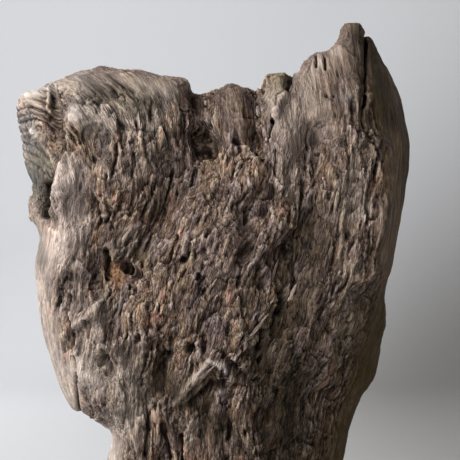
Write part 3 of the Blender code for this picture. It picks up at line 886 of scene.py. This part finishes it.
def all_bundles(tree, grain):
    """Adds up the tones of the bundles of each size, and the wood that isn't in the gaps between them."""
    tones, gaps = 0.0, 0.0
    for width, length, gap, weight in BUNDLES:
        tone, whole = bundle_nodes(tree, grain, width, length, gap)
        tones = math_node(tree, "MULTIPLY_ADD", tone, weight, tones)
        gaps = math_node(tree, "MULTIPLY_ADD", whole, weight, gaps)
    return tones, gaps


def wood_level(tree, kept, noises, tones, gaps):
    """Adds up how light the wood is, from 0 in deep hollows to 1 on pale ridges."""
    level = math_node(tree, "MULTIPLY_ADD", kept["relief_fine"], FINE_TONE, LEVEL_MIDDLE)
    level = math_node(tree, "MULTIPLY_ADD", kept["relief_wide"], WIDE_TONE, level)
    for name, weight in NOISE_TONES.items():
        level = math_node(tree, "MULTIPLY_ADD", centred(tree, noises[name]), weight, level)
    lines = math_node(tree, "MULTIPLY_ADD", kept["fibrous"], FIBROUS_LINES, PLAIN_LINES)
    level = math_node(tree, "MULTIPLY_ADD", centred(tree, noises["streaks"]), lines, level)
    bundles = math_node(tree, "SUBTRACT", math_node(tree, "ADD", tones, gaps), BUNDLE_MIDDLE)
    level = math_node(tree, "MULTIPLY_ADD", bundles, math_node(tree, "SUBTRACT", 1.0, kept["worn"]), level)
    return math_node(tree, "MULTIPLY_ADD", kept["worn"], WORN_TONE, level, clamp=True)


def wood_colour(tree, kept, noises, level):
    """Turns the wood's lightness into its colour, tinted in patches that hold the wood's own colours and
    painted light and painted shade.
    """
    tints = ramp_node(tree, noises["hues"], HUE_RAMP)
    colour = mix_colours(tree, HUE_SHARE, ramp_node(tree, level, WOOD_RAMP), tints, "MULTIPLY")
    shaded = node(tree, "ShaderNodeVectorMath", operation="SCALE")
    tree.links.new(kept["patch"], shaded.inputs[0])
    tree.links.new(math_node(tree, "MULTIPLY_ADD", level, *PATCH_LIGHTNESS), shaded.inputs["Scale"])
    cloudy = math_node(tree, "ADD", noises["clouds"], 0.5)
    spread = math_node(tree, "MULTIPLY", kept["patch_strength"], cloudy, clamp=True)
    return mix_colours(tree, spread, colour, shaded.outputs[0])


def wood_bump(tree, kept, noises, tones, gaps):
    """Raises the finest fibres, which are too small for the mesh."""
    rise = 0.0
    for name, weight in NOISE_RISES.items():
        rise = math_node(tree, "MULTIPLY_ADD", noises[name], weight, rise)
    rise = math_node(tree, "MULTIPLY_ADD", tones, TONE_RISE, rise)
    rise = math_node(tree, "MULTIPLY_ADD", gaps, GAP_RISE, rise)
    bump = node(tree, "ShaderNodeBump", in_Distance=BUMP_DISTANCE * MM)
    tree.links.new(rise, bump.inputs["Height"])
    strength = math_node(tree, "MULTIPLY_ADD", kept["worn"], -BUMP_WORN_OFF, 1.0)
    tree.links.new(strength, bump.inputs["Strength"])
    return bump.outputs["Normal"]


def wood_material():
    """Dry weathered wood: pale on its ridges, brown in its hollows, streaked along the grain."""
    material = bpy.data.materials.new("weathered_wood")
    material.use_nodes = True
    tree = material.node_tree
    shader = tree.nodes["Principled BSDF"]
    grain = attribute(tree, "grain").outputs["Vector"]
    kept = {"patch": attribute(tree, "patch").outputs["Vector"]}
    for name in ("relief_fine", "relief_wide", "worn", "fibrous", "patch_strength"):
        kept[name] = attribute(tree, name).outputs["Fac"]
    noises = {name: noise_node(tree, grain, noise) for name, noise in NOISES.items()}
    tones, gaps = all_bundles(tree, grain)
    level = wood_level(tree, kept, noises, tones, gaps)
    tree.links.new(wood_colour(tree, kept, noises, level), shader.inputs["Base Color"])
    rough = math_node(tree, "MULTIPLY_ADD", kept["worn"], -ROUGHNESS_WORN_OFF, ROUGHNESS)
    tree.links.new(rough, shader.inputs["Roughness"])
    shader.inputs["Specular IOR Level"].default_value = SPECULAR
    tree.links.new(wood_bump(tree, kept, noises, tones, gaps), shader.inputs["Normal"])
    return material


def surface_depth(mesh):
    """Prepares a quick reading of the front surface's Y at any (x, z)."""
    points = read_points(mesh)
    normals = read_normals(mesh)
    ahead = points[normals[:, 1] < AHEAD_FACING]

    def read(x, z):
        apart = (ahead[:, 0] - x) ** 2 + (ahead[:, 2] - z) ** 2
        near = np.argsort(apart)[:NEAREST_POINTS]
        return ahead[near, 1].mean()

    return read


def blade_rings(number, splinter, read, front_limit):
    """Gives a splinter's rings of points from root to tip, each point with its grain coordinates."""
    (x0, z0), (x1, z1), width, proud = splinter
    run = np.array([x1 - x0, z1 - z0])
    side = np.array([run[1], -run[0]]) / np.hypot(*run)
    y0, y1 = read(x0, z0), read(x1, z1)
    rings = []
    for step in range(SPLINTER_STEPS + 1):
        t = step / SPLINTER_STEPS
        bend = SPLINTER_BEND * width * np.sin(3 * t + number)
        heart_x = x0 + run[0] * t + side[0] * bend
        heart_z = z0 + run[1] * t + side[1] * bend
        heart_y = (1 - t) * (y0 + SPLINTER_ROOT) + t * y1 - proud * t**SPLINTER_LIFT
        wide = width / 2 * (1 - t ** SPLINTER_TAPER[0]) ** SPLINTER_TAPER[1] + SPLINTER_TIP
        thick = SPLINTER_FLATNESS * wide + SPLINTER_THINNEST
        ring = []
        for corner in range(SPLINTER_SIDES):
            turn = 2 * np.pi * corner / SPLINTER_SIDES + 0.5 * number
            rough = 1 + SPLINTER_ROUGH * np.sin(5.1 * corner + 2.3 * step + number)
            off_side = wide * rough * np.cos(turn)
            spot_y = max(heart_y + thick * rough * np.sin(turn), front_limit)
            spot = (heart_x + side[0] * off_side, spot_y, heart_z + side[1] * off_side)
            grain = (off_side + SPLINTER_SPACING * number, thick * np.sin(turn), t * np.hypot(*run))
            ring.append((spot, grain))
        rings.append(ring)
    return rings


def add_blade(blades, rings):
    """Closes rings of vertices into a blade."""
    for below, above in zip(rings, rings[1:]):
        for corner in range(SPLINTER_SIDES):
            other = (corner + 1) % SPLINTER_SIDES
            blades.faces.new((below[corner], below[other], above[other], above[corner]))
    blades.faces.new(rings[0][::-1])
    blades.faces.new(rings[-1])


def make_splinters(skin):
    """Makes the splinters, each a tapered blade sunk into the wood at its root."""
    read = surface_depth(skin.data)
    front_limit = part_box(NODE)[0][1] / MM + BOX_MARGIN
    blades = bmesh.new()
    grain = []
    for number, splinter in enumerate(SPLINTERS):
        rings = blade_rings(number, splinter, read, front_limit)
        grain += [place for ring in rings for _, place in ring]
        add_blade(blades, [[blades.verts.new(Vector(spot) * MM) for spot, _ in ring] for ring in rings])
    bmesh.ops.recalc_face_normals(blades, faces=blades.faces)
    mesh = bpy.data.meshes.new("driftwood_splinters")
    blades.to_mesh(mesh)
    blades.free()
    store(mesh, {"grain": np.array(grain), "patch": np.tile(np.array(PALE), (len(grain), 1))})
    store(mesh, {name: np.full(len(grain), value) for name, value in SPLINTER_KEEPS.items()})
    mesh.shade_smooth()
    splinters = bpy.data.objects.new("driftwood_splinters", mesh)
    bpy.context.scene.collection.objects.link(splinters)
    return splinters


def aim(thing, target):
    """Turns a camera or a light towards a point."""
    thing.rotation_euler = (Vector(target) - thing.location).to_track_quat("-Z", "Y").to_euler()


def make_camera():
    """Places the camera square to the front, so the wood fills the photograph's frame."""
    data = bpy.data.cameras.new("camera")
    data.lens = LENS
    data.sensor_width = SENSOR
    data.clip_start = 0.01
    distance = PIXEL * IMAGE_PIXELS * LENS / SENSOR
    camera = bpy.data.objects.new("camera", data)
    camera.location = Vector((VIEW_CENTRE[0], -distance, VIEW_CENTRE[2])) * MM
    bpy.context.scene.collection.objects.link(camera)
    aim(camera, Vector(VIEW_CENTRE) * MM)
    bpy.context.scene.camera = camera


# Studio sizes are in metres
STAGE_BACK = 2.1
STAGE_FRONT = -3.5
STAGE_HALF_WIDTH = 4.0
STAGE_TOP = 3.0
STAGE_BEND = 0.9
STAGE_STEPS = 16
# The soft shadow painted on the backdrop: its heart, how much narrower it is than deep, and where it starts
# and ends
SHADE_HEART = (0.60, 0.95, -0.20)
SHADE_SQUEEZE = 2.0
SHADE_REACH = (0.60, 1.60)
SHADE_PAINT = (0.218, 0.211, 0.203)
PALE_PAINT = (0.80, 0.813, 0.838)
# The floor near the wood, painted darker as painted shade against the pool of light of the near lamps, and
# how far it reaches before it turns into the wall's paint
NEAR_FLOOR_SHADE_PAINT = (0.40, 0.404, 0.413)
FLOOR_REACH = (0.6, 2.0)
# Lights, as (name, place beside the wood's middle, aim beside it, size, power, colour)
LIGHTS = (
    ("key", (-0.83, -0.65, 0.66), (0, 0, 0), 0.36, 17, (0.985, 0.985, 0.98)),
    ("rake", (-1.05, -0.22, 0.24), (0, 0, 0), 0.5, 7, (0.985, 0.985, 0.98)),
    ("fill", (-0.50, -1.60, 0.50), (0, 0, 0), 1.0, 12, (0.97, 0.98, 1.0)),
    ("back", (-0.85, 0.75, 0.60), (0, 0, 0), 0.5, 13, (0.99, 0.99, 1.0)),
    ("side", (0.95, 0.62, 0.40), (0, 0, 0), 0.6, 2.2, (1.0, 0.985, 0.96)),
    ("backdrop", (-0.50, 0.60, 0.90), (-0.20, 2.40, 0.35), 1.4, 10, (0.99, 0.995, 1.0)),
)
AMBIENT = (0.126, 0.121, 0.116)
BACKGROUND = (0.66, 0.67, 0.69)


def make_light(name, place, target, size, power, colour):
    """Adds a soft square light."""
    data = bpy.data.lights.new(name, "AREA")
    data.size = size
    data.energy = power
    data.color = colour
    light = bpy.data.objects.new(name, data)
    centre = Vector(VIEW_CENTRE) * MM
    light.location = centre + Vector(place)
    light.visible_camera = False
    bpy.context.scene.collection.objects.link(light)
    aim(light, centre + Vector(target))


def make_world():
    """Sets a dim even room light, with a pale background, seen in plain colours."""
    bpy.context.scene.view_settings.view_transform = "Standard"
    world = bpy.data.worlds.new("room")
    bpy.context.scene.world = world
    world.use_nodes = True
    tree = world.node_tree
    dim = tree.nodes["Background"]
    dim.inputs["Color"].default_value = (*AMBIENT, 1)
    pale = node(tree, "ShaderNodeBackground")
    pale.inputs["Color"].default_value = (*BACKGROUND, 1)
    mix = node(tree, "ShaderNodeMixShader")
    path = node(tree, "ShaderNodeLightPath")
    tree.links.new(path.outputs["Is Camera Ray"], mix.inputs[0])
    tree.links.new(dim.outputs[0], mix.inputs[1])
    tree.links.new(pale.outputs[0], mix.inputs[2])
    tree.links.new(mix.outputs[0], tree.nodes["World Output"].inputs["Surface"])


def make_stage():
    """Makes the pale floor that bends up into a backdrop."""
    profile = [(STAGE_FRONT, 0.0), (STAGE_BACK - STAGE_BEND, 0.0)]
    for step in range(1, STAGE_STEPS + 1):
        turn = np.pi / 2 * step / STAGE_STEPS
        profile.append((STAGE_BACK - STAGE_BEND + STAGE_BEND * np.sin(turn), STAGE_BEND * (1 - np.cos(turn))))
    profile.append((STAGE_BACK, STAGE_TOP))
    sheet = bmesh.new()
    rows = [[sheet.verts.new((side * STAGE_HALF_WIDTH, y, z)) for side in (-1, 1)] for y, z in profile]
    for near, far in zip(rows, rows[1:]):
        sheet.faces.new((near[0], near[1], far[1], far[0]))
    mesh = bpy.data.meshes.new("stage")
    sheet.to_mesh(mesh)
    sheet.free()
    mesh.shade_smooth()
    stage = bpy.data.objects.new("stage", mesh)
    bpy.context.scene.collection.objects.link(stage)
    stage.data.materials.append(stage_material())


def stage_material():
    """Pale paint with a soft painted shadow at the right, over a floor painted darker near the wood."""
    paint = bpy.data.materials.new("pale_wall")
    paint.use_nodes = True
    tree = paint.node_tree
    shader = tree.nodes["Principled BSDF"]
    shader.inputs["Roughness"].default_value = 1.0
    shader.inputs["Specular IOR Level"].default_value = 0.0
    place = node(tree, "ShaderNodeTexCoord").outputs["Object"]
    apart = node(tree, "ShaderNodeVectorMath", operation="SUBTRACT")
    tree.links.new(place, apart.inputs[0])
    apart.inputs[1].default_value = SHADE_HEART
    squeezed = node(tree, "ShaderNodeVectorMath", operation="MULTIPLY")
    tree.links.new(apart.outputs[0], squeezed.inputs[0])
    squeezed.inputs[1].default_value = (SHADE_SQUEEZE, 1, 1)
    reach = node(tree, "ShaderNodeVectorMath", operation="LENGTH")
    tree.links.new(squeezed.outputs[0], reach.inputs[0])
    light = node(tree, "ShaderNodeMapRange", interpolation_type="SMOOTHSTEP")
    tree.links.new(reach.outputs["Value"], light.inputs["Value"])
    light.inputs["From Min"].default_value, light.inputs["From Max"].default_value = SHADE_REACH
    # The floor is painted darker near the wood: painted shade
    away = node(tree, "ShaderNodeVectorMath", operation="LENGTH")
    tree.links.new(place, away.inputs[0])
    wall = node(tree, "ShaderNodeMapRange", interpolation_type="SMOOTHSTEP")
    tree.links.new(away.outputs["Value"], wall.inputs["Value"])
    wall.inputs["From Min"].default_value, wall.inputs["From Max"].default_value = FLOOR_REACH
    pale = mix_colours(tree, wall.outputs[0], NEAR_FLOOR_SHADE_PAINT, PALE_PAINT)
    # The painted shadow: the pale paint turns to the shade paint towards the shadow's heart
    tree.links.new(mix_colours(tree, light.outputs[0], SHADE_PAINT, pale), shader.inputs["Base Color"])
    return paint


def main():
    """Dresses the wood, lights it and places the camera."""
    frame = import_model()
    source = frame["nodes"][NODE]
    skin = make_skin(source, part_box(NODE))
    splinters = make_splinters(skin)
    wood = wood_material()
    for piece in (skin, splinters):
        piece.data.materials.clear()
        piece.data.materials.append(wood)
        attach(piece, "root")
    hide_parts(NODE)
    make_stage()
    for light in LIGHTS:
        make_light(*light)
    make_world()
    make_camera()


main()
